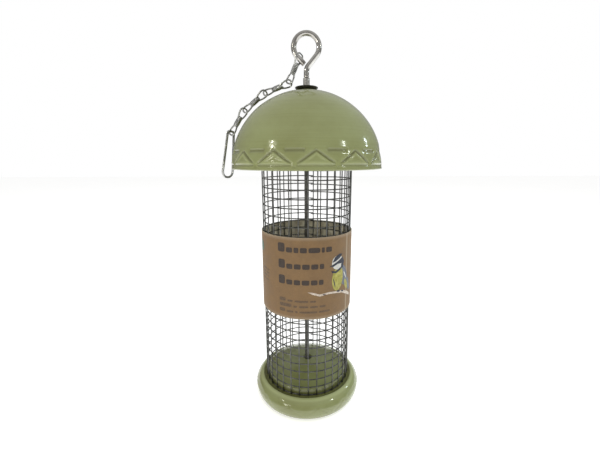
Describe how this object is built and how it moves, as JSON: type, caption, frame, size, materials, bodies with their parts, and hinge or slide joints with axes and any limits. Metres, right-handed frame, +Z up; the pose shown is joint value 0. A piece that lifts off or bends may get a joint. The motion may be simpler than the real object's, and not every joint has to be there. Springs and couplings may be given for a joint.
{
  "type": "hanging bird feeder",
  "caption": "Hanging wild-bird feeder: a wire mesh cylinder between a glazed tray and a domed lid on a central rod, with a card sleeve, an eye and a knotted chain.",
  "frame": {"origin": "on the rod's axis, level with the ring that the tray stands on", "axes": "+Z up along the rod, +X to the right seen from the front, +Y to the back; the chain hangs on the -X side"},
  "size_m": [0.1176, 0.109, 0.2752],
  "materials": {
    "glaze": "gloss sage green glaze with fine turned ridges",
    "steel": "plain steel rod, dull",
    "zinc_wire": "galvanised wire",
    "dark_washer": "black",
    "rubber": "matt black",
    "kraft_card": "brown kraft card"
  },
  "bodies": {
    "base": {"tray": "glaze", "tray_seal": "rubber", "tray_washer": "steel", "tray_nut": "steel", "centre_rod": "steel"},
    "cage": {"mesh_cage_1": "zinc_wire", "mesh_cage_2": "zinc_wire", "mesh_cage_3": "zinc_wire", "mesh_cage_4": "zinc_wire", "mesh_cage_5": "zinc_wire", "mesh_cage_6": "zinc_wire", "mesh_cage_7": "zinc_wire", "mesh_cage_8": "zinc_wire"},
    "sleeve": {"card_sleeve": "kraft_card"},
    "lid": {"dome_lid": "glaze", "lid_washer": "dark_washer"},
    "eye": {"eye": "steel", "eye_collar": "steel"},
    "link_1": {"chain_link_1": "zinc_wire"},
    "link_2": {"chain_link_2": "zinc_wire"},
    "link_3": {"chain_link_3": "zinc_wire"},
    "link_4": {"chain_link_4": "zinc_wire"},
    "loop": {"hanging_loop": "zinc_wire"}
  },
  "joints": [
    {"name": "cage_lift", "type": "slide", "parent": "base", "child": "cage", "axis": [0, 0, 1], "range_m": [0, 0.04]},
    {"name": "sleeve_slide", "type": "slide", "parent": "cage", "child": "sleeve", "axis": [0, 0, 1], "range_m": [-0.05, 0.075]},
    {"name": "lid_lift", "type": "slide", "parent": "cage", "child": "lid", "axis": [0, 0, 1], "range_m": [0, 0.06]},
    {"name": "eye_turn", "type": "hinge", "parent": "lid", "child": "eye", "pos_m": [0, 0, 0.2414], "axis": [0, 0, 1], "continuous": true},
    {"name": "link_1_swing", "type": "hinge", "parent": "eye", "child": "link_1", "pos_m": [-0.0052, 0, 0.25719], "axis": [0, 1, 0], "range_deg": [0, 35]},
    {"name": "link_2_swing", "type": "hinge", "parent": "link_1", "child": "link_2", "pos_m": [-0.01277, 0, 0.24085], "axis": [0, 1, 0], "range_deg": [0, 10]},
    {"name": "link_3_swing", "type": "hinge", "parent": "link_2", "child": "link_3", "pos_m": [-0.03048, 0, 0.23397], "axis": [0, 1, 0], "range_deg": [0, 35]},
    {"name": "link_4_swing", "type": "hinge", "parent": "link_3", "child": "link_4", "pos_m": [-0.04517, 0, 0.22192], "axis": [0, 1, 0], "range_deg": [0, 35]},
    {"name": "loop_swing", "type": "hinge", "parent": "link_4", "child": "loop", "pos_m": [-0.05539, 0, 0.20591], "axis": [0, 1, 0], "range_deg": [0, 35]}
  ]
}
